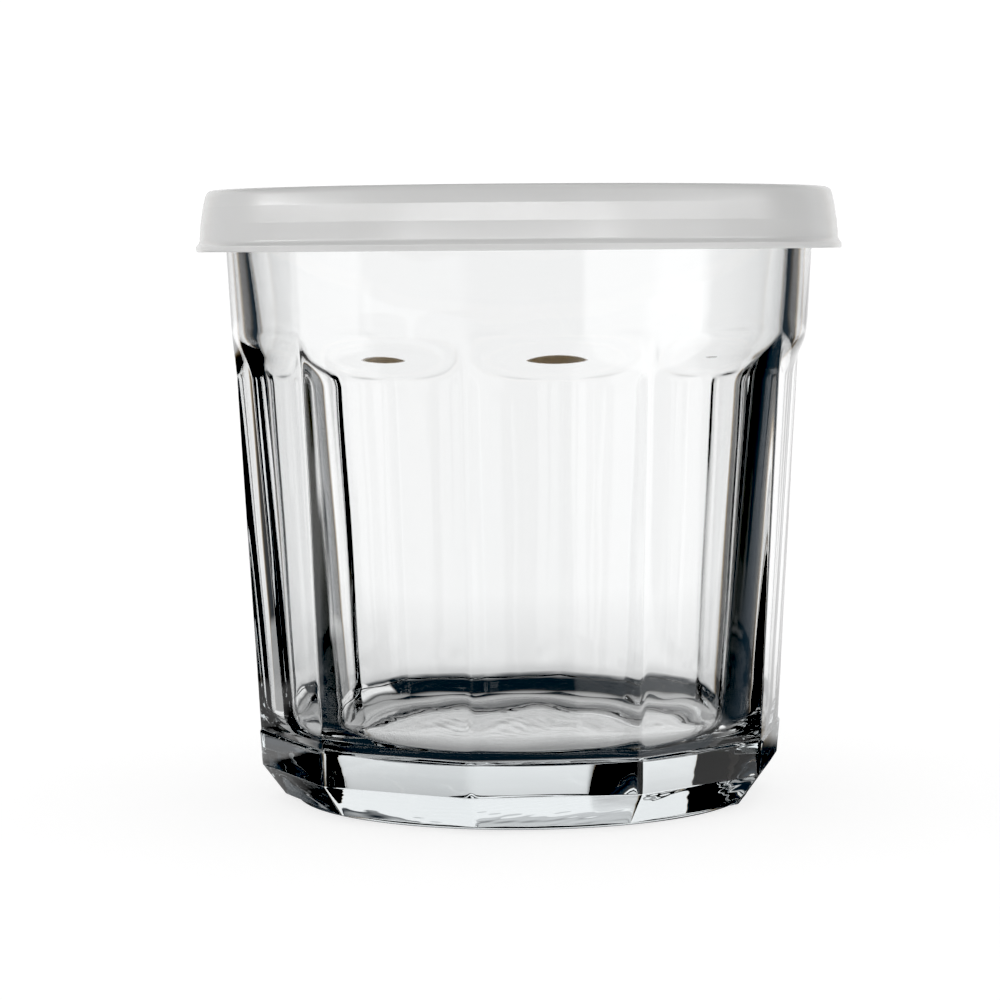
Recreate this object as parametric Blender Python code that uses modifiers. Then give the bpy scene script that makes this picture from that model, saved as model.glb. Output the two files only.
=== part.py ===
# Lidded glass cup: a ten-sided pressed tumbler with a smooth round collar,
# closed by a press-on plastic lid with a flared skirt and a pull flange.
# Units are metres, +Z is up, and the foot ring stands on z = 0.

import math

import bpy

MM = 0.001

# Glass: the outside
RIM_HEIGHT = 91.5 * MM
RIM_ROUND = 1.2 * MM
CONE_RADIUS = 39.95 * MM  # the outer cone, carried down to z = 0
CONE_FLARE = 0.0565  # radius gained for each unit of height
SIDES = 10
CREST_DROP = 0.25 * MM  # how far the ribs lie inside the outer cone
PANEL_FOOT = 10.75 * MM
PANEL_TOP = 64.8 * MM
SHOULDER_ROUND = 9.0 * MM
SHOULDER_POINTS = 14

# Glass: the base band, its chamfer and the foot ring
BAND_TOP = 10.4 * MM
BAND_FOOT = 5.4 * MM
BAND_DRAW_IN = 0.2 * MM  # the band's lower edge lies this far inside the cone
CHAMFER_FOOT = 0.7 * MM
CHAMFER_RADIUS = 36.8 * MM
FOOT_RADIUS = 34.9 * MM
FOOT_ROUND = 0.7 * MM
FOOT_WIDTH = 4.0 * MM
KICK_DEPTH = 1.0 * MM  # the shallow hollow under the base
KICK_SLOPE = 2.5 * MM

# Glass: the bore
FLOOR_HEIGHT = 9.2 * MM
BORE_RADIUS = 33.0 * MM  # the bore's cone, carried down to z = 0
BORE_FLARE = 0.102
HEEL_ROUND = 5.5 * MM
HEEL_POINTS = 7

# Lid
LID_GAP = 0.3 * MM  # between the lid and the rim it sits on
LID_WALL = 1.2 * MM
LID_HEIGHT = 9.1 * MM
LID_TOP_RADIUS = 47.7 * MM
SKIRT_FLARE = 1.0 * MM  # radius gained from the top of the skirt to the flange
SKIRT_BEND = 0.6  # share of the lid's height down to where the flare eases off
SKIRT_BEND_FLARE = 0.8  # share of the flare reached there
LID_EDGE_ROUND = 1.3 * MM
FLANGE_REACH = 0.5 * MM
FLANGE_HEIGHT = 1.1 * MM
RECESS_RADIUS = 40.5 * MM
RECESS_DEPTH = 1.0 * MM
PLUG_DEPTH = 4.6 * MM
PLUG_TAPER = 0.5 * MM

OVERCUT = 5 * MM  # how far the facets' solid runs past the glass
ROUND_STEPS = 120
ARC_POINTS = 4


def clear_scene():
    for thing in list(bpy.data.objects):
        bpy.data.objects.remove(thing, do_unlink=True)


def make_collection(name):
    made = bpy.data.collections.new(name)
    bpy.context.scene.collection.children.link(made)
    return made


def make_material(name, colour, roughness, transmission):
    made = bpy.data.materials.new(name)
    made.use_nodes = True
    shader = made.node_tree.nodes["Principled BSDF"]
    shader.inputs["Base Color"].default_value = (*colour, 1.0)
    shader.inputs["Roughness"].default_value = roughness
    shader.inputs["Metallic"].default_value = 0.0
    shader.inputs["Transmission Weight"].default_value = transmission
    made.diffuse_color = (*colour, 1.0)
    return made


def arc(centre, radius, start, end, points=ARC_POINTS):
    """Points on an arc in the (radius, height) plane; angles in degrees, 0 pointing outwards."""
    found = []
    for i in range(points + 1):
        angle = math.radians(start + (end - start) * i / points)
        r = centre[0] + radius * math.cos(angle)
        z = centre[1] + radius * math.sin(angle)
        found.append((r, z))
    return found


def make_turned(name, profile, steps, collection):
    """An object whose profile, at +X, a Screw modifier turns once round the Z axis."""
    mesh = bpy.data.meshes.new(name)
    edges = [(i, i + 1) for i in range(len(profile) - 1)]
    mesh.from_pydata([(r, 0.0, z) for r, z in profile], edges, [])
    made = bpy.data.objects.new(name, mesh)
    collection.objects.link(made)
    screw = made.modifiers.new("Turn", "SCREW")
    screw.axis = "Z"
    screw.angle = math.tau
    screw.steps = steps
    screw.render_steps = steps
    screw.use_merge_vertices = True
    screw.merge_threshold = 0.00001
    screw.use_smooth_shade = steps > SIDES
    return made


def cone_radius(z):
    return CONE_RADIUS + CONE_FLARE * z


def bore_radius(z):
    return BORE_RADIUS + BORE_FLARE * z


def glass_blank_profile():
    """The glass before its facets: up the bore, over the rim, down the cone and round the foot."""
    heel_z = FLOOR_HEIGHT + HEEL_ROUND
    heel = (bore_radius(heel_z) - HEEL_ROUND, heel_z)
    rim_z = RIM_HEIGHT - RIM_ROUND
    inner_rim = (bore_radius(rim_z) + RIM_ROUND, rim_z)
    outer_rim = (cone_radius(rim_z) - RIM_ROUND, rim_z)
    foot = (FOOT_RADIUS, FOOT_ROUND)
    ring_inside = FOOT_RADIUS - FOOT_WIDTH
    profile = [(0.0, FLOOR_HEIGHT)]
    profile += arc(heel, HEEL_ROUND, -90, 0, HEEL_POINTS)
    profile += arc(inner_rim, RIM_ROUND, 180, 90)
    profile += arc(outer_rim, RIM_ROUND, 90, 0)
    profile.append((cone_radius(FOOT_ROUND), FOOT_ROUND))
    profile += arc(foot, FOOT_ROUND, 0, -90)
    profile.append((ring_inside, 0.0))
    profile.append((ring_inside - KICK_SLOPE, KICK_DEPTH))
    profile.append((0.0, KICK_DEPTH))
    return profile


def crest_radius(apothem):
    """The distance from the axis to a corner, for sides at this distance."""
    return apothem / math.cos(math.pi / SIDES)


def facet_profile():
    """The corners of the ten-sided outside, from above the rim to below the foot."""
    panel_top = cone_radius(PANEL_TOP) - CREST_DROP
    panel_foot = cone_radius(PANEL_FOOT) - CREST_DROP
    apothem = panel_top * math.cos(math.pi / SIDES)
    reach = crest_radius(cone_radius(RIM_HEIGHT)) + OVERCUT
    scoop_centre = (apothem + SHOULDER_ROUND, PANEL_TOP)
    scoop = arc(scoop_centre, SHOULDER_ROUND, 90, 180, SHOULDER_POINTS)
    above = RIM_HEIGHT + OVERCUT
    below = -OVERCUT
    profile = [(0.0, above), (reach, above)]
    profile.append((reach, PANEL_TOP + SHOULDER_ROUND))
    profile += [(crest_radius(r), z) for r, z in scoop]
    profile.append((panel_foot, PANEL_FOOT))
    profile.append((cone_radius(BAND_TOP), BAND_TOP))
    profile.append((cone_radius(BAND_FOOT) - BAND_DRAW_IN, BAND_FOOT))
    profile.append((CHAMFER_RADIUS, CHAMFER_FOOT))
    profile.append((CHAMFER_RADIUS, below))
    profile.append((0.0, below))
    return profile


def make_glass(parts, cutters):
    facets = make_turned("facets", facet_profile(), SIDES, cutters)
    facets.rotation_euler.z = math.radians(-90 + 180 / SIDES)  # one panel faces -Y
    facets.hide_render = True
    facets.display_type = "WIRE"
    glass = make_turned("glass", glass_blank_profile(), ROUND_STEPS, parts)
    cut = glass.modifiers.new("Facets", "BOOLEAN")
    cut.operation = "INTERSECT"
    cut.solver = "EXACT"
    cut.object = facets
    glass.data.materials.append(make_material("clear glass", (0.97, 0.98, 0.98), 0.0, 1.0))
    return glass


def lid_profile():
    """From the recess up over the edge, down the skirt, round the flange and back inside."""
    underside = RIM_HEIGHT + LID_GAP
    top = underside + LID_WALL
    foot = top - LID_HEIGHT
    recess_z = top - RECESS_DEPTH
    ceiling = recess_z - LID_WALL
    skirt_foot = LID_TOP_RADIUS + SKIRT_FLARE
    flange = skirt_foot + FLANGE_REACH
    flange_z = foot + FLANGE_HEIGHT
    bend = LID_TOP_RADIUS + SKIRT_BEND_FLARE * SKIRT_FLARE
    bend_z = top - SKIRT_BEND * LID_HEIGHT
    edge = (LID_TOP_RADIUS - LID_EDGE_ROUND, top - LID_EDGE_ROUND)
    plug_outer = bore_radius(underside) - 2 * LID_GAP
    plug_foot = underside - PLUG_DEPTH
    plug_inner = RECESS_RADIUS - LID_WALL
    profile = [(0.0, recess_z), (RECESS_RADIUS, recess_z)]
    profile.append((RECESS_RADIUS + RECESS_DEPTH / 2, top))
    profile += arc(edge, LID_EDGE_ROUND, 90, 10)
    profile.append((bend, bend_z))
    profile.append((skirt_foot, flange_z))
    profile.append((flange, flange_z))
    profile.append((flange, foot))
    profile.append((skirt_foot - LID_WALL, foot))
    profile.append((bend - LID_WALL, bend_z))
    profile.append((LID_TOP_RADIUS - LID_WALL, underside))
    profile.append((plug_outer, underside))
    profile.append((plug_outer - PLUG_TAPER, plug_foot))
    profile.append((plug_inner, plug_foot))
    profile.append((plug_inner, ceiling))
    profile.append((0.0, ceiling))
    return profile


def make_lid(parts):
    lid = make_turned("lid", lid_profile(), ROUND_STEPS, parts)
    lid.data.materials.append(make_material("frosted plastic", (0.86, 0.86, 0.85), 0.4, 0.0))
    return lid


def main():
    clear_scene()
    parts = make_collection("lidded glass cup")
    cutters = make_collection("cutters")
    make_glass(parts, cutters)
    make_lid(parts)


main()
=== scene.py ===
import math

import bpy
import numpy as np
from mathutils import Matrix, Vector


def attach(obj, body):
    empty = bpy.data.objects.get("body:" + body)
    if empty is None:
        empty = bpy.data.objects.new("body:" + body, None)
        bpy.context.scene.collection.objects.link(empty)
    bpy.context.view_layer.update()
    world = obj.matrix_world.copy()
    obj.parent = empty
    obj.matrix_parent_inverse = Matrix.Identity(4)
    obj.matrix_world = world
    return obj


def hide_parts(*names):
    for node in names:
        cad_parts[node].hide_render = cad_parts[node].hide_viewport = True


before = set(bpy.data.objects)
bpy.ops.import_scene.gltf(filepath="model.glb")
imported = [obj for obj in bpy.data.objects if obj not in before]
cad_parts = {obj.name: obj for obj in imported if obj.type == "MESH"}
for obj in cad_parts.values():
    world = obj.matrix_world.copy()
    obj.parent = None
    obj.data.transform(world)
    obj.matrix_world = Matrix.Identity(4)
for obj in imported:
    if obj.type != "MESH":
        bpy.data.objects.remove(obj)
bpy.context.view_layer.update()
print("frame loaded")

mm = 0.001

# the view: where the camera stands, and how it is tilted
viewPoint = {
    "bearing": -97.5,  # degrees from +X, seen from above
    "distance": 510 * mm,
    "height": 84 * mm,
    "tiltDown": 4.335,
    "turnLeft": 0.353,
    "roll": -0.42,
    "lens": 119.52,
    "sensor": 36.0,
    "clipStart": 0.01,
    "blackLevel": 0.025,  # a firm black point, for crisp lines in the glass
}


def makeCamera(view):
    data = bpy.data.cameras.new("camera")
    data.lens = view["lens"]
    data.sensor_width = view["sensor"]
    data.clip_start = view["clipStart"]
    camera = bpy.data.objects.new("camera", data)
    bpy.context.scene.collection.objects.link(camera)
    bearing = math.radians(view["bearing"])
    x = view["distance"] * math.cos(bearing)
    y = view["distance"] * math.sin(bearing)
    heading = bearing + math.pi / 2 + math.radians(view["turnLeft"])
    turned = Matrix.Rotation(heading, 4, "Z")
    tilted = Matrix.Rotation(math.radians(90 - view["tiltDown"]), 4, "X")
    rolled = Matrix.Rotation(math.radians(view["roll"]), 4, "Z")
    camera.matrix_world = Matrix.Translation((x, y, view["height"])) @ turned @ tilted @ rolled
    bpy.context.scene.camera = camera


def setColours(view):
    colours = bpy.context.scene.view_settings
    colours.view_transform = "Standard"  # keeps the white set white
    colours.use_curve_mapping = True
    colours.curve_mapping.black_level = (view["blackLevel"],) * 3
    colours.curve_mapping.update()


makeCamera(viewPoint)
setColours(viewPoint)
print("camera placed")


def addNode(tree, kind, sockets=None, **settings):
    # sockets holds the node's inputs: a number or colour, or an output to link from
    node = tree.nodes.new(kind)
    for name, value in settings.items():
        setattr(node, name, value)
    for name, value in (sockets or {}).items():
        if isinstance(value, bpy.types.NodeSocket):
            tree.links.new(value, node.inputs[name])
        else:
            node.inputs[name].default_value = value
    return node


def doMath(tree, operation, a, b=0.0):
    return addNode(tree, "ShaderNodeMath", {0: a, 1: b}, operation=operation).outputs[0]


def smoothStep(tree, value, start, end, low=0.0, high=1.0):
    sockets = {"Value": value, "From Min": start, "From Max": end, "To Min": low, "To Max": high}
    node = addNode(tree, "ShaderNodeMapRange", sockets, interpolation_type="SMOOTHSTEP")
    return node.outputs["Result"]


def blend(tree, share, a, b):
    return addNode(tree, "ShaderNodeMix", {0: share, 6: a, 7: b}, data_type="RGBA").outputs[2]


def doVector(tree, operation, a, b=(0, 0, 0)):
    return addNode(tree, "ShaderNodeVectorMath", {0: a, 1: b}, operation=operation).outputs


def times(tree, vector, factor):
    return doVector(tree, "MULTIPLY", vector, factor)["Vector"]


def reachOf(tree, place):
    # distance from the cup's axis
    return doVector(tree, "LENGTH", times(tree, place, (1, 1, 0)))["Value"]


def heightOf(tree, place):
    return addNode(tree, "ShaderNodeSeparateXYZ", {0: place}).outputs["Z"]


def newMaterial(name):
    material = bpy.data.materials.new(name)
    material.use_nodes = True
    tree = material.node_tree
    return material, tree, tree.nodes["Principled BSDF"]


# the set: a white panel stands behind the cup, and the dark room on either side of it
# draws the glass's edges
studio = {
    "facing": 82.5,  # bearing of the panel's middle, degrees
    "sweep": [  # degrees away from that bearing, and the colour there
        (0.0, (1.07, 1.07, 1.07)),
        (26.5, (1.07, 1.07, 1.07)),
        (29.2, (0.42, 0.33, 0.22)),
        (31.0, (0.10, 0.09, 0.08)),
        (40.0, (0.04, 0.052, 0.064)),
        (48.0, (0.03, 0.040, 0.050)),
        (56.0, (0.014, 0.017, 0.018)),
        (66.0, (0.012, 0.012, 0.008)),
        (180.0, (0.007, 0.008, 0.008)),
    ],
    "gap": (0.028, 0.034, 0.040),
    "panelTop": 38.0,  # degrees above the horizon
    "panelTopEdge": 6.0,
    "panelFade": (10.0, 34.0, 1.0, 0.4),  # the panel dims between these elevations
    "overhead": 0.5,
    "overheadFrom": (50, 80),
    "domeLight": 0.62,
    "paleSet": 1.06,
    "floorSize": 3.0,
    "floorDrop": 0.05 * mm,
    "tableGlow": 0.72,
    "tableShade": (0.43, 0.45),
    "tableGrain": 40.0,
    # reach from the cup in millimetres, and how light the table is there: painted shadow round the
    # cup's foot, white further out
    "tableSteps": [(0, 0.0), (62, 0.0), (74, 0.62), (130, 0.86), (200, 1.0)],
    # the white part of the table narrows towards a point this far in front of the cup
    "tableShift": 55 * mm,
    # painted light on the table under the cup, seen through the glass
    "underCupLight": 0.3,
    "underReach": (26 * mm, 30 * mm),
    # the light close behind the foot: strength, half-width and soft edge in degrees
    "besideCup": (0.45, 100.0, 20.0),
    "besideReach": (44 * mm, 48 * mm),
    "softEdge": 1.6,  # degrees
    "sideEdge": 4.5,
    # a side panel's stretch of table is fully white between these shares of its two ends
    "fadeIn": 1.15,
    "fadeOut": 0.9,
}

# smaller panels for the views from the other sides; an upright one also stands behind the
# table, and the reach is the stretch of table that each one lights with painted light
sidePanels = [
    {
        "bearing": -47.0,
        "halfWidth": 26.0,
        "light": 1.07,
        "upright": True,
        "reach": (40 * mm, 3000 * mm),
    },
    {
        "bearing": 135.0,
        "halfWidth": 28.0,
        "light": 0.95,
        "upright": False,
        "reach": (46 * mm, 62 * mm),
    },
    {
        "bearing": 144.0,
        "halfWidth": 19.0,
        "light": 0.95,
        "upright": False,
        "reach": (54 * mm, 86 * mm),
    },
    {
        "bearing": 137.0,
        "halfWidth": 13.0,
        "light": 0.40,
        "upright": False,
        "reach": (70 * mm, 150 * mm),
    },
    {
        "bearing": 182.0,
        "halfWidth": 17.5,
        "light": 1.07,
        "upright": True,
        "reach": (195 * mm, 3000 * mm),
    },
    {
        "bearing": 187.5,
        "halfWidth": 15.5,
        "light": 1.07,
        "upright": False,
        "reach": (112 * mm, 400 * mm),
    },
]


def offBearing(tree, direction, bearing):
    # the angle between a direction and a bearing, both seen from above
    unit = doVector(tree, "NORMALIZE", times(tree, direction, (1, 1, 0)))["Vector"]
    a = math.radians(bearing)
    toward = (math.cos(a), math.sin(a), 0)
    return doMath(tree, "ARCCOSINE", doVector(tree, "DOT_PRODUCT", unit, toward)["Value"])


def sector(tree, direction, bearing, halfWidth, edge, light):
    # the light of an upright strip this wide, 0 on either side of it
    outer, inner = math.radians(halfWidth + edge), math.radians(halfWidth - edge)
    return smoothStep(tree, offBearing(tree, direction, bearing), outer, inner, 0.0, light)


def steps(tree, value, stops):
    # the colour or light that a list of stops gives for a value
    farthest = stops[-1][0]
    ramp = addNode(tree, "ShaderNodeValToRGB", {"Fac": doMath(tree, "DIVIDE", value, farthest)})
    points = ramp.color_ramp.elements
    points[1].position = 1.0
    for at, shade in stops[1:-1]:
        points.new(at / farthest)
    for point, (at, shade) in zip(points, stops):
        point.color = (*shade, 1) if isinstance(shade, tuple) else (shade, shade, shade, 1)
    return ramp.outputs["Color"]


def lighter(tree, colour, light):
    # the colour, or a white of this strength where that is lighter
    mix = {0: 1.0, 6: colour, 7: light}
    return addNode(tree, "ShaderNodeMix", mix, data_type="RGBA", blend_type="LIGHTEN").outputs[2]


def seenPlainly(tree, path):
    # 1 for what the camera or a soft surface sees, 0 for what glass and gloss see
    return doMath(tree, "MAXIMUM", path["Is Camera Ray"], path["Is Diffuse Ray"])


def makeWorld(look):
    world = bpy.data.worlds.new("studio")
    bpy.context.scene.world = world
    world.use_nodes = True
    tree = world.node_tree
    tree.nodes.clear()
    direction = addNode(tree, "ShaderNodeTexCoord").outputs["Generated"]
    elevation = doMath(tree, "DEGREES", doMath(tree, "ARCSINE", heightOf(tree, direction)))
    off = doMath(tree, "DEGREES", offBearing(tree, direction, look["facing"]))
    panels = steps(tree, off, look["sweep"])
    for panel in sidePanels:
        if panel["upright"]:
            width, edge = panel["halfWidth"], look["sideEdge"]
            light = sector(tree, direction, panel["bearing"], width, edge, panel["light"])
            panels = lighter(tree, panels, light)
    fade = smoothStep(tree, elevation, *look["panelFade"])
    panels = times(tree, panels, fade)
    ended = smoothStep(tree, elevation, look["panelTop"] - look["panelTopEdge"], look["panelTop"])
    panels = blend(tree, ended, panels, (*look["gap"], 1))
    above = smoothStep(tree, elevation, *look["overheadFrom"], 0.0, look["overhead"])
    lit = lighter(tree, panels, above)
    path = addNode(tree, "ShaderNodeLightPath").outputs
    plain = seenPlainly(tree, path)
    pale = {0: path["Is Camera Ray"], 2: look["domeLight"], 3: look["paleSet"]}
    soft = addNode(tree, "ShaderNodeMix", pale).outputs[0]
    background = addNode(tree, "ShaderNodeBackground", {"Color": blend(tree, plain, lit, soft)})
    output = addNode(tree, "ShaderNodeOutputWorld")
    tree.links.new(background.outputs[0], output.inputs[0])


def tableForGlass(tree, position, look):
    # white behind the cup, painted shadow round its foot, a little painted light right at the foot
    reach = reachOf(tree, position)
    away = math.radians(look["facing"])
    shift = (look["tableShift"] * math.cos(away), look["tableShift"] * math.sin(away), 0)
    fromPoint = doVector(tree, "ADD", position, shift)["Vector"]
    off = doMath(tree, "DEGREES", offBearing(tree, fromPoint, look["facing"]))
    share = steps(tree, doMath(tree, "DIVIDE", reach, mm), look["tableSteps"])
    seen = blend(tree, share, (*look["gap"], 1), steps(tree, off, look["sweep"]))

    strength, width, edge = look["besideCup"]
    near, far = look["besideReach"]
    beside = sector(tree, position, look["facing"], width, edge, strength)
    beside = doMath(tree, "MULTIPLY", beside, smoothStep(tree, reach, far, near))
    seen = lighter(tree, seen, beside)
    # painted light on the table under the cup
    near, far = look["underReach"]
    seen = lighter(tree, seen, smoothStep(tree, reach, far, near, 0.0, look["underCupLight"]))

    # painted light: each side panel's stretch of table
    for panel in sidePanels:
        near, far = panel["reach"]
        width, edge = panel["halfWidth"], look["softEdge"]
        patch = sector(tree, position, panel["bearing"], width, edge, panel["light"])
        started = smoothStep(tree, reach, near, near * look["fadeIn"])
        ended = smoothStep(tree, reach, far, far * look["fadeOut"])
        patch = doMath(tree, "MULTIPLY", doMath(tree, "MULTIPLY", patch, started), ended)
        seen = lighter(tree, seen, patch)
    return seen


def makeFloor(look):
    half = look["floorSize"] / 2
    corners = [(-half, -half, 0), (half, -half, 0), (half, half, 0), (-half, half, 0)]
    mesh = bpy.data.meshes.new("floor")
    mesh.from_pydata(corners, [], [(0, 1, 2, 3)])
    floor = bpy.data.objects.new("floor", mesh)
    floor.location.z = -look["floorDrop"]
    bpy.context.scene.collection.objects.link(floor)
    material, tree, shader = newMaterial("paleTable")
    position = addNode(tree, "ShaderNodeNewGeometry").outputs["Position"]
    plain = seenPlainly(tree, addNode(tree, "ShaderNodeLightPath").outputs)
    white = (look["paleSet"] * look["tableGlow"],) * 3 + (1,)
    seen = tableForGlass(tree, position, look)
    tree.links.new(blend(tree, plain, seen, white), shader.inputs["Emission Color"])
    shader.inputs["Emission Strength"].default_value = 1.0
    grain = addNode(tree, "ShaderNodeTexNoise", {"Scale": look["tableGrain"], "Detail": 4.0})
    shade = addNode(tree, "ShaderNodeValToRGB", {"Fac": grain.outputs["Fac"]})
    for point, value in zip(shade.color_ramp.elements, look["tableShade"]):
        point.color = (value, value, value, 1)
    base = blend(tree, plain, (0, 0, 0, 1), shade.outputs["Color"])
    tree.links.new(base, shader.inputs["Base Color"])
    shader.inputs["Roughness"].default_value = 1.0
    shader.inputs["Specular IOR Level"].default_value = 0.0
    mesh.materials.append(material)


makeWorld(studio)
makeFloor(studio)
print("set built")


# the pressed glass, in millimetres; the cone and the bore have their radii at the foot
# and grow with height
glassForm = {
    "rimHeight": 91.5,
    "rimRound": 1.2,
    "coneRadius": 39.95,
    "coneFlare": 0.0565,
    "sides": 10,
    "ribSoftness": 0.65,  # degrees
    "panelDrop": 0.08,
    "panelFoot": 10.75,
    "panelTop": 64.3,
    "edgeRounds": [0.05, 0.5, 0.15, 0.3],  # foot, band foot, band top, panel foot
    "shoulderRise": 7.72,
    "shoulderTurn": 0.68,  # how crisply the swell turns over at its middle
    "shoulderRows": 44,
    "cornerBlend": 0.08,  # where a panel's edge runs into the cone
    "bandTop": 10.4,
    "bandFoot": 5.4,
    "bandProud": 0.25,
    "bandDrawIn": 0.2,
    "chamferRadius": 36.8,
    "footRadius": 34.9,
    "footRound": 0.7,
    "footWidth": 4.0,
    "kickDepth": 1.0,
    "kickSlope": 2.5,
    "kickRounds": [1.0, 0.6],
    "kickRings": (6.0, 16.0, 24.0, 26.0),
    "floorHeight": 9.2,
    "boreRadius": 33.0,
    "boreFlare": 0.102,
    "heelRound": 5.5,
    "rippleHeight": 0.006,
    "ripplePitch": 5.5,
    "floorWave": 0.0022,
    "floorPitch": 3.4,
    "floorWaves": 12,
    "floorSeed": 11,
    "waviness": 0.028,
    "wavinessSeed": 7,
    "tints": ((0.988, 0.990, 0.990), (0.998, 1.0, 0.999)),
    "tintScale": 60.0,
    "ior": 1.52,
    "depthColour": (0.0, 0.27, 0.38),  # what thick glass lets through
    "depthDensity": 2.0,
    # the moulded surface: how often each kind of wave comes, per metre along x, y and z,
    # how deep it is, and the heights and reaches it fades between
    "uneven": [
        {
            "often": (150, 150, 230),
            "depth": 0.10,
            "above": (10.6, 12),
            "below": (16, 21),
            "beyond": (30, 33),
        },
        {
            "often": (60, 60, 900),
            "depth": 0.017,
            "above": (4.6, 5.6),
            "below": (10.0, 10.6),
            "beyond": (34.4, 35.2),
        },
    ],
}


def arcPoints(x, z, radius, start, end, steps):
    angles = np.radians(np.linspace(start, end, steps + 1))
    return [(x + radius * math.cos(a), z + radius * math.sin(a)) for a in angles]


def roundedPath(points, radii, steps=5):
    # a path through the points, with each inner corner rounded to its radius
    path = [points[0]]
    for i in range(1, len(points) - 1):
        before, here, after = (Vector(points[k]) for k in (i - 1, i, i + 1))
        back = (before - here).normalized()
        ahead = (after - here).normalized()
        half = back.angle(ahead) / 2
        cut = radii[i - 1] / math.tan(half)
        start = here + back * cut
        end = here + ahead * cut
        for k in range(steps + 1):
            t = k / steps
            p = start.lerp(here, t).lerp(here.lerp(end, t), t)
            path.append((p.x, p.y))
    path.append(points[-1])
    return path


def panelColumns(form):
    # bearings of the mesh's columns, close together at each rib
    width = 180 / form["sides"]
    spread = [0, 2, 4, 6, 8, 10, 12, 14, 15.4, 16.2, 16.7, 17.0, 17.2, 17.4, 17.6, 17.8]
    local = [-a for a in reversed(spread[1:])] + spread + [18.0]
    local = [a * width / 18 for a in local]
    centres = [-90 + 2 * width * k for k in range(form["sides"])]
    bearing = np.array([c + a for c in centres for a in local])
    offset = np.array([a for c in centres for a in local])
    return np.radians(bearing), np.radians(offset)


def softLess(a, b, width):
    # the smaller of the two, with a rounded corner between them
    return (a + b - np.sqrt((a - b) ** 2 + width**2)) / 2


def cone(form, z):
    return form["coneRadius"] + form["coneFlare"] * z


def bore(form, z):
    return form["boreRadius"] + form["boreFlare"] * z


def panel(form, z):
    # how far out the middle of a panel stands
    return (cone(form, z) - form["panelDrop"]) * math.cos(math.pi / form["sides"])


def floorEdge(form):
    return bore(form, form["floorHeight"] + form["heelRound"]) - form["heelRound"]


def undersidePath(form):
    # from the middle out to the foot ring
    ringInside = form["footRadius"] - form["footWidth"]
    kick = [(ringInside - form["kickSlope"], form["kickDepth"]), (ringInside, 0.0)]
    *hollow, hollowEdge = [(r, form["kickDepth"]) for r in form["kickRings"]]
    footX = form["footRadius"] - form["footRound"]
    path = hollow + roundedPath([hollowEdge, *kick, (footX, 0.0)], form["kickRounds"])[:-1]
    return path + arcPoints(footX, form["footRound"], form["footRound"], -90, 0, 6)


def sidesPath(form):
    # the ten-sided outside, from the chamfer up to the panels' tops, at the middle of a side
    half = math.pi / form["sides"]
    bandFoot, bandTop = form["bandFoot"], form["bandTop"]
    footReach = (cone(form, bandFoot) - form["bandDrawIn"]) * math.cos(half)
    topReach = cone(form, bandTop) * math.cos(half)
    corners = [
        (form["footRadius"] + 0.02, form["footRound"] + 0.02),
        (form["chamferRadius"] * math.cos(half), form["footRound"] + 0.05),
        (footReach + form["bandProud"], bandFoot),
        (topReach + form["bandProud"], bandTop),
        (panel(form, form["panelFoot"]), form["panelFoot"]),
        (panel(form, 20.0), 20.0),
    ]
    levels = np.linspace(14, form["panelTop"] - 0.6, 18)
    path = roundedPath(corners, form["edgeRounds"], 6)[:-1]
    return path + [(panel(form, z), z) for z in levels]


def swell(form, z):
    # how far the panels have swollen out into the round collar, from 0 to 1
    t = (z - form["panelTop"]) / form["shoulderRise"]
    crisp = 2 * t * t if t < 0.5 else 1 - 2 * (1 - t) ** 2
    smooth = t * t * (3 - 2 * t)
    return smooth * (1 - form["shoulderTurn"]) + crisp * form["shoulderTurn"]


def collarPath(form):
    # up the collar, over the rim, down the bore and round the heel
    rimZ = form["rimHeight"] - form["rimRound"]
    heelZ = form["floorHeight"] + form["heelRound"]
    outer, inner = cone(form, rimZ) - form["rimRound"], bore(form, rimZ) + form["rimRound"]
    shoulder = form["panelTop"] + form["shoulderRise"]
    path = [(cone(form, z), z) for z in np.linspace(shoulder, rimZ, 14)[1:-1]]
    path += arcPoints(outer, rimZ, form["rimRound"], 0, 90, 8)
    path += arcPoints(inner, rimZ, form["rimRound"], 90, 180, 8)
    path += [(bore(form, z), z) for z in np.linspace(rimZ, heelZ, 30)[1:-1]]
    return path + arcPoints(floorEdge(form), heelZ, form["heelRound"], 0, -90, 14)


def floorRings(form, bearing):
    # the floor inside, from its edge to near the middle, faintly rippled
    draw = np.random.default_rng(form["floorSeed"])
    waves = []
    for k in range(form["floorWaves"]):
        waves.append((*draw.uniform(-1, 1, 2), draw.uniform(0, math.tau)))
    edge = floorEdge(form)
    rings = []
    for r in np.linspace(edge, 1.5, 46)[1:]:
        x, y = r * np.cos(bearing), r * np.sin(bearing)
        ripple = form["rippleHeight"] * math.cos(math.tau * r / form["ripplePitch"])
        lift = ripple * np.ones_like(bearing)
        for a, b, phase in waves:
            turn = math.tau * (a * x + b * y) / form["floorPitch"]
            lift += form["floorWave"] * np.sin(turn + phase)
        ease = min(1.0, (edge - r) / 4)
        rings.append((r, form["floorHeight"] + lift * ease))
    return rings


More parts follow.
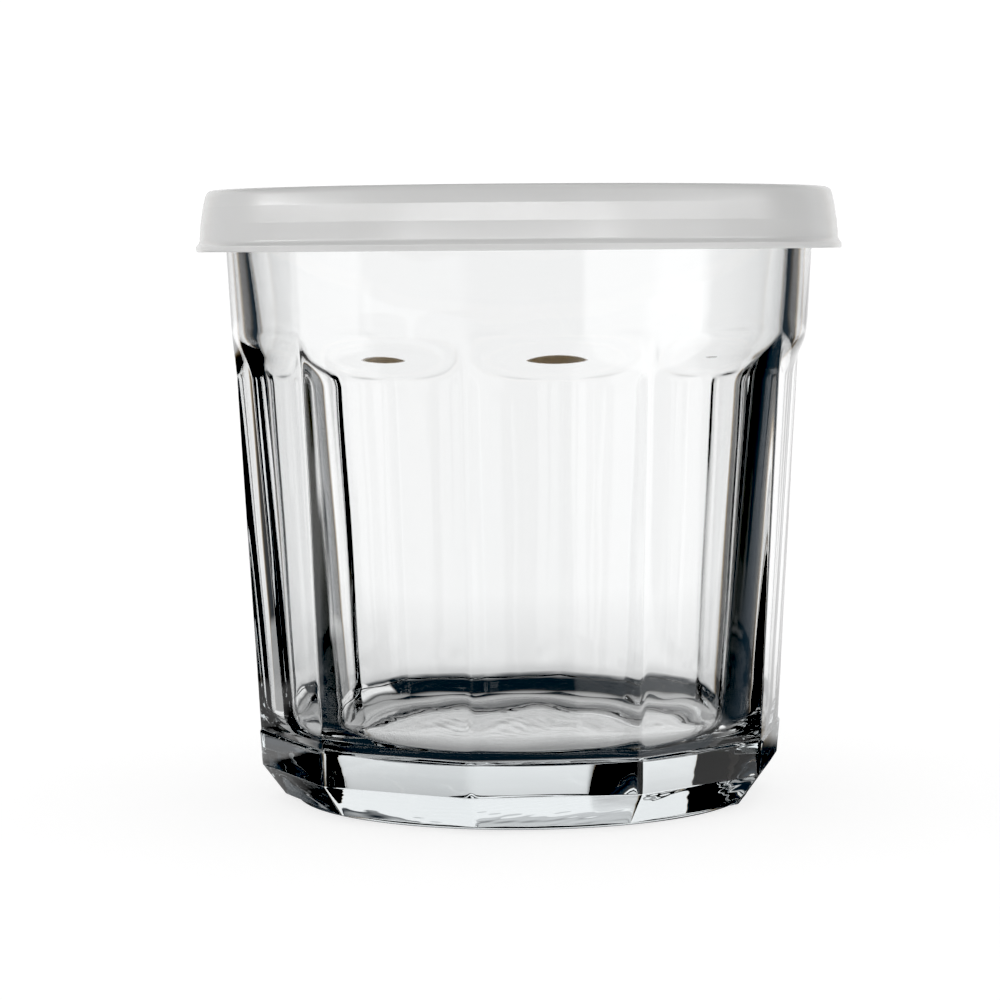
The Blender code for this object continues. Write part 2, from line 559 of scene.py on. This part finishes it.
def glassRows(form):
    bearing, offset = panelColumns(form)
    half = math.pi / form["sides"]
    toRib = half - np.abs(offset)
    lean = half - np.sqrt(toRib**2 + math.radians(form["ribSoftness"]) ** 2)
    stretch = 1 / np.cos(lean)  # a flat panel's reach along each column
    radii, heights = [], []

    def addRow(radius, height):
        radii.append(radius * np.ones_like(bearing))
        heights.append(height * np.ones_like(bearing))

    def sided(reach, z):
        return softLess(reach * stretch, cone(form, z), form["cornerBlend"])

    for r, z in undersidePath(form):
        addRow(r, z)
    for reach, z in sidesPath(form):
        addRow(sided(reach, z), z)
    shoulder = form["panelTop"] + form["shoulderRise"]
    for z in np.linspace(form["panelTop"], shoulder, form["shoulderRows"]):
        flat = sided(panel(form, z), z)
        addRow(flat + (cone(form, z) - flat) * swell(form, z), z)
    for r, z in collarPath(form) + floorRings(form, bearing):
        addRow(r, z)
    return bearing, np.array(radii), np.array(heights)


def addWaviness(bearing, radii, heights, size, seed):
    # the faint unevenness of pressed glass
    draw = np.random.default_rng(seed)
    wave = np.zeros_like(radii)
    for k in range(9):
        turns = draw.integers(2, 16)
        length = draw.uniform(14, 45)
        phase = draw.uniform(0, math.tau, 2)
        wave += np.sin(turns * bearing + phase[0]) * np.sin(math.tau * heights / length + phase[1])
    fade = np.clip((radii - 20) / 12, 0, 1) * np.clip((heights - 1) / 4, 0, 1)
    return radii + wave * size / 3 * fade


def turnedMesh(name, bearing, radii, heights):
    # rings from the underside's middle, up the outside, and down to the inside's middle
    rings, columns = radii.shape
    x = radii * np.cos(bearing) * mm
    y = radii * np.sin(bearing) * mm
    z = heights * mm
    grid = np.stack([x, y, z], axis=-1).reshape(-1, 3)
    first = (0.0, 0.0, heights[0].mean() * mm)
    last = (0.0, 0.0, heights[-1].mean() * mm)
    points = np.vstack([grid, [first, last]])
    here = np.arange(columns)
    after = (here + 1) % columns
    faces = []
    for k in range(rings - 1):
        a, b = k * columns, (k + 1) * columns
        faces += np.stack([a + here, a + after, b + after, b + here], axis=1).tolist()
    faces += [[rings * columns, int(j), int(i)] for i, j in zip(here, after)]
    top = (rings - 1) * columns
    faces += [[rings * columns + 1, int(top + i), int(top + j)] for i, j in zip(here, after)]
    mesh = bpy.data.meshes.new(name)
    mesh.from_pydata(points.tolist(), [], faces)
    mesh.shade_smooth()
    made = bpy.data.objects.new(name, mesh)
    bpy.context.scene.collection.objects.link(made)
    return made


def unevenness(tree, place, waves):
    reach, height = reachOf(tree, place), heightOf(tree, place)
    total = 0.0
    for wave in waves:
        stretched = times(tree, place, wave["often"])
        pattern = {"Vector": stretched, "Scale": 1.0, "Detail": 0.0}
        noise = addNode(tree, "ShaderNodeTexNoise", pattern).outputs["Fac"]
        above = smoothStep(tree, height, wave["above"][0] * mm, wave["above"][1] * mm)
        below = smoothStep(tree, height, wave["below"][1] * mm, wave["below"][0] * mm)
        beyond = smoothStep(tree, reach, wave["beyond"][0] * mm, wave["beyond"][1] * mm)
        share = doMath(tree, "MULTIPLY", doMath(tree, "MULTIPLY", above, below), beyond)
        lift = doMath(tree, "MULTIPLY", doMath(tree, "MULTIPLY", noise, share), wave["depth"] * mm)
        total = doMath(tree, "ADD", lift, total)
    bump = {"Height": total, "Strength": 1.0, "Distance": 1.0}
    return addNode(tree, "ShaderNodeBump", bump).outputs["Normal"]


def glassMaterial(form):
    material, tree, shader = newMaterial("pressedGlass")
    place = addNode(tree, "ShaderNodeTexCoord").outputs["Object"]
    pattern = {"Vector": place, "Scale": form["tintScale"], "Detail": 0.0}
    cloud = addNode(tree, "ShaderNodeTexNoise", pattern)
    tint = addNode(tree, "ShaderNodeValToRGB", {"Fac": cloud.outputs["Fac"]})
    for point, colour in zip(tint.color_ramp.elements, form["tints"]):
        point.color = (*colour, 1)
    tree.links.new(tint.outputs["Color"], shader.inputs["Base Color"])
    shader.inputs["Roughness"].default_value = 0.0
    tree.links.new(unevenness(tree, place, form["uneven"]), shader.inputs["Normal"])
    shader.inputs["IOR"].default_value = form["ior"]
    shader.inputs["Transmission Weight"].default_value = 1.0
    volume = {"Color": (*form["depthColour"], 1), "Density": form["depthDensity"]}
    depth = addNode(tree, "ShaderNodeVolumeAbsorption", volume)
    tree.links.new(depth.outputs[0], tree.nodes["Material Output"].inputs["Volume"])
    return material


def makeGlass(form):
    bearing, radii, heights = glassRows(form)
    radii = addWaviness(bearing, radii, heights, form["waviness"], form["wavinessSeed"])
    cup = turnedMesh("glassCup", bearing, radii, heights)
    cup.data.materials.append(glassMaterial(form))
    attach(cup, "root")
    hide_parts("glass")


makeGlass(glassForm)
print("glass built")


# the press-on lid, in millimetres
lidForm = {
    "top": 93.0,
    "foot": 83.7,
    "topRadius": 47.7,
    "skirtRadius": 48.7,
    "flangeRadius": 49.2,
    "flangeTop": 84.8,
    "flangeSlant": (0.2, 0.25),  # its ledge falls this far outwards and rises this far inwards
    "bandTop": 90.4,
    "bandTopRadius": 48.13,
    "bandFoot": 87.9,
    "bandDrawIn": 0.2,
    "topDrawIn": 0.15,
    "wall": 1.2,
    "recessRadius": 40.5,
    "recessSlope": 0.5,
    "recessFloor": 92.0,
    "plugOuter": 41.75,
    "plugTaper": 0.5,
    "plugFoot": 87.2,
    "plugInner": 39.3,
    "ceiling": 90.8,
    "seat": 91.8,
    "rings": (0.6, 12.0, 26.0),
    # how softly each corner turns, from the middle of the inside out, then up the skirt and
    # over the top to its middle
    "insideRounds": [0.1, 0.1, 0.3, 0.3, 0.3, 0.2, 0.3, 0.5, 0.2],
    "footRounds": [0.25, 0.3, 1.1],
    "topRounds": [0.8, 0.3, 1.25, 0.4, 0.4, 0.1, 0.1],
    "columns": 300,
    "tints": ((0.74, 0.74, 0.735), (0.78, 0.78, 0.775)),
    "tintScale": 45.0,
    "insidePaintedShade": (0.10, 0.08, 0.065),  # painted shade on the inner faces of the skirt and seat; the inside only shows through the glass
    # painted light: a warm glow on the skirt's inner foot, standing in for light passing through
    # the translucent lid
    "insideFootPaintedLight": (0.98, 0.79, 0.66),
    "footLightFade": (3.6, 2.2),  # where the painted shade turns into painted light, above the lid's foot
    "insideLean": 0.13,  # how far the skirt flares for each unit down
    "grainScale": 1800.0,
    "grainDepth": 0.00005,
    "roughness": (0.21, 0.25),
    "topRoughness": 0.45,  # added on the flat top
    "topFade": (0.6, 1.6),  # in from its edge
    "ior": 1.5,
    "scatter": 0.6,
    "scatterDepth": 2.0,
}


def lidProfile(form):
    wall = form["wall"]
    bandRadius = form["skirtRadius"] - form["bandDrawIn"]
    fall, rise = form["flangeSlant"]
    inside = [
        *((r, form["ceiling"]) for r in form["rings"]),
        (form["plugInner"], form["ceiling"]),
        (form["plugInner"], form["plugFoot"]),
        (form["plugOuter"] - form["plugTaper"], form["plugFoot"]),
        (form["plugOuter"], form["seat"]),
        (form["topRadius"] - wall, form["seat"]),
        (bandRadius - wall, form["bandFoot"]),
        (form["skirtRadius"] - wall, form["foot"]),
    ]
    outside = [
        (form["flangeRadius"], form["foot"]),
        (form["flangeRadius"], form["flangeTop"] - fall),
        (form["skirtRadius"] + 0.02, form["flangeTop"] + rise),
        (bandRadius, form["bandFoot"]),
        (form["bandTopRadius"], form["bandTop"]),
        (form["topRadius"] - form["topDrawIn"], form["top"]),
        (form["recessRadius"] + form["recessSlope"], form["top"]),
        (form["recessRadius"], form["recessFloor"]),
        *((r, form["recessFloor"]) for r in reversed(form["rings"])),
    ]
    rounds = form["insideRounds"] + form["footRounds"] + form["topRounds"]
    return roundedPath(inside + outside, rounds, 6)


def paintedInsideShare(tree, form, reach, height):
    # 1 on the inner faces of the skirt and the seat, which get painted shade and painted light
    down = doMath(tree, "SUBTRACT", form["seat"] * mm, height)
    upright = doMath(tree, "SUBTRACT", reach, doMath(tree, "MULTIPLY", down, form["insideLean"]))
    middle = (form["topRadius"] - form["wall"] / 2) * mm
    within = smoothStep(tree, upright, middle + 0.2 * mm, middle - 0.2 * mm)
    lower = smoothStep(tree, height, (form["seat"] + 0.15) * mm, (form["seat"] + 0.05) * mm)
    return doMath(tree, "MULTIPLY", within, lower)


def lidMaterial(form):
    material, tree, shader = newMaterial("frostedLid")
    place = addNode(tree, "ShaderNodeTexCoord").outputs["Object"]
    reach, height = reachOf(tree, place), heightOf(tree, place)
    pattern = {"Vector": place, "Scale": form["tintScale"], "Detail": 5.0}
    cloud = addNode(tree, "ShaderNodeTexNoise", pattern)
    tint = addNode(tree, "ShaderNodeValToRGB", {"Fac": cloud.outputs["Fac"]})
    for point, colour in zip(tint.color_ramp.elements, form["tints"]):
        point.color = (*colour, 1)
    # painted shade on the inner faces, turning to painted light near the skirt's foot
    inside = paintedInsideShare(tree, form, reach, height)
    start, end = ((form["foot"] + rise) * mm for rise in form["footLightFade"])
    foot = smoothStep(tree, height, start, end)
    shade = blend(tree, foot, (*form["insidePaintedShade"], 1), (*form["insideFootPaintedLight"], 1))
    colour = blend(tree, inside, tint.outputs["Color"], shade)
    tree.links.new(colour, shader.inputs["Base Color"])

    pattern = {"Vector": place, "Scale": form["grainScale"], "Detail": 2.0}
    grain = addNode(tree, "ShaderNodeTexNoise", pattern).outputs["Fac"]
    rough = smoothStep(tree, grain, 0.3, 0.7, *form["roughness"])
    start, end = ((form["topRadius"] - rim) * mm for rim in form["topFade"])
    matte = smoothStep(tree, reach, start, end, 0.0, form["topRoughness"])
    tree.links.new(doMath(tree, "ADD", rough, matte), shader.inputs["Roughness"])
    relief = {"Height": grain, "Strength": 0.01, "Distance": form["grainDepth"]}
    bump = addNode(tree, "ShaderNodeBump", relief)
    tree.links.new(bump.outputs["Normal"], shader.inputs["Normal"])
    shader.inputs["IOR"].default_value = form["ior"]
    shader.inputs["Subsurface Weight"].default_value = form["scatter"]
    shader.inputs["Subsurface Radius"].default_value = (1.0, 1.0, 1.0)
    shader.inputs["Subsurface Scale"].default_value = form["scatterDepth"] * mm
    return material


def makeLid(form):
    profile = lidProfile(form)
    bearing = np.linspace(0, math.tau, form["columns"], endpoint=False)
    one = np.ones_like(bearing)
    radii = np.array([r * one for r, z in profile])
    heights = np.array([z * one for r, z in profile])
    lid = turnedMesh("snapLid", bearing, radii, heights)
    lid.data.materials.append(lidMaterial(form))
    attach(lid, "root")
    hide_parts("lid")
    return lid


lid = makeLid(lidForm)
print("lid built")

# soft lights that only the lid takes up: a key from the front left, low strips all round
# the front that draw its band, and a panel behind each end; the glossy ones only show
# as reflections
lidLights = {
    "key": {
        "bearing": -150.0,
        "elevation": 32.0,
        "width": 0.7,
        "height": 0.5,
        "power": 0.55,
        "glossy": False,
    },
    "stripFront": {
        "bearing": -102.0,
        "elevation": 16.5,
        "width": 1.5,
        "height": 0.10,
        "power": 6.6,
        "glossy": True,
    },
    "stripLeft": {
        "bearing": -172.0,
        "elevation": 16.5,
        "width": 1.3,
        "height": 0.10,
        "power": 3.0,
        "glossy": True,
    },
    "stripRight": {
        "bearing": -32.0,
        "elevation": 16.5,
        "width": 1.3,
        "height": 0.10,
        "power": 2.6,
        "glossy": True,
    },
    "endLeft": {
        "bearing": 138.0,
        "elevation": 12.0,
        "width": 0.9,
        "height": 0.5,
        "power": 1.1,
        "glossy": True,
    },
    "endRight": {
        "bearing": 40.0,
        "elevation": 12.0,
        "width": 0.4,
        "height": 0.5,
        "power": 0.35,
        "glossy": True,
    },
}
lidLightDistance = 1.0
lidLightHeight = 89 * mm  # what they point at


def makeLidLight(name, look, receiver):
    data = bpy.data.lights.new(name, "AREA")
    data.shape = "RECTANGLE"
    data.size = look["width"]
    data.size_y = look["height"]
    data.energy = look["power"]
    light = bpy.data.objects.new(name, data)
    bpy.context.scene.collection.objects.link(light)
    bearing, elevation = math.radians(look["bearing"]), math.radians(look["elevation"])
    flat = lidLightDistance * math.cos(elevation)
    rise = lidLightDistance * math.sin(elevation)
    target = Vector((0, 0, lidLightHeight))
    light.location = target + Vector((flat * math.cos(bearing), flat * math.sin(bearing), rise))
    light.rotation_mode = "QUATERNION"
    light.rotation_quaternion = (light.location - target).to_track_quat("Z", "Y")
    light.visible_diffuse = not look["glossy"]
    only = bpy.data.collections.new(name + "Receiver")
    only.objects.link(receiver)
    light.light_linking.receiver_collection = only


for lightName, lightLook in lidLights.items():
    makeLidLight(lightName, lightLook, lid)
print("lights placed")
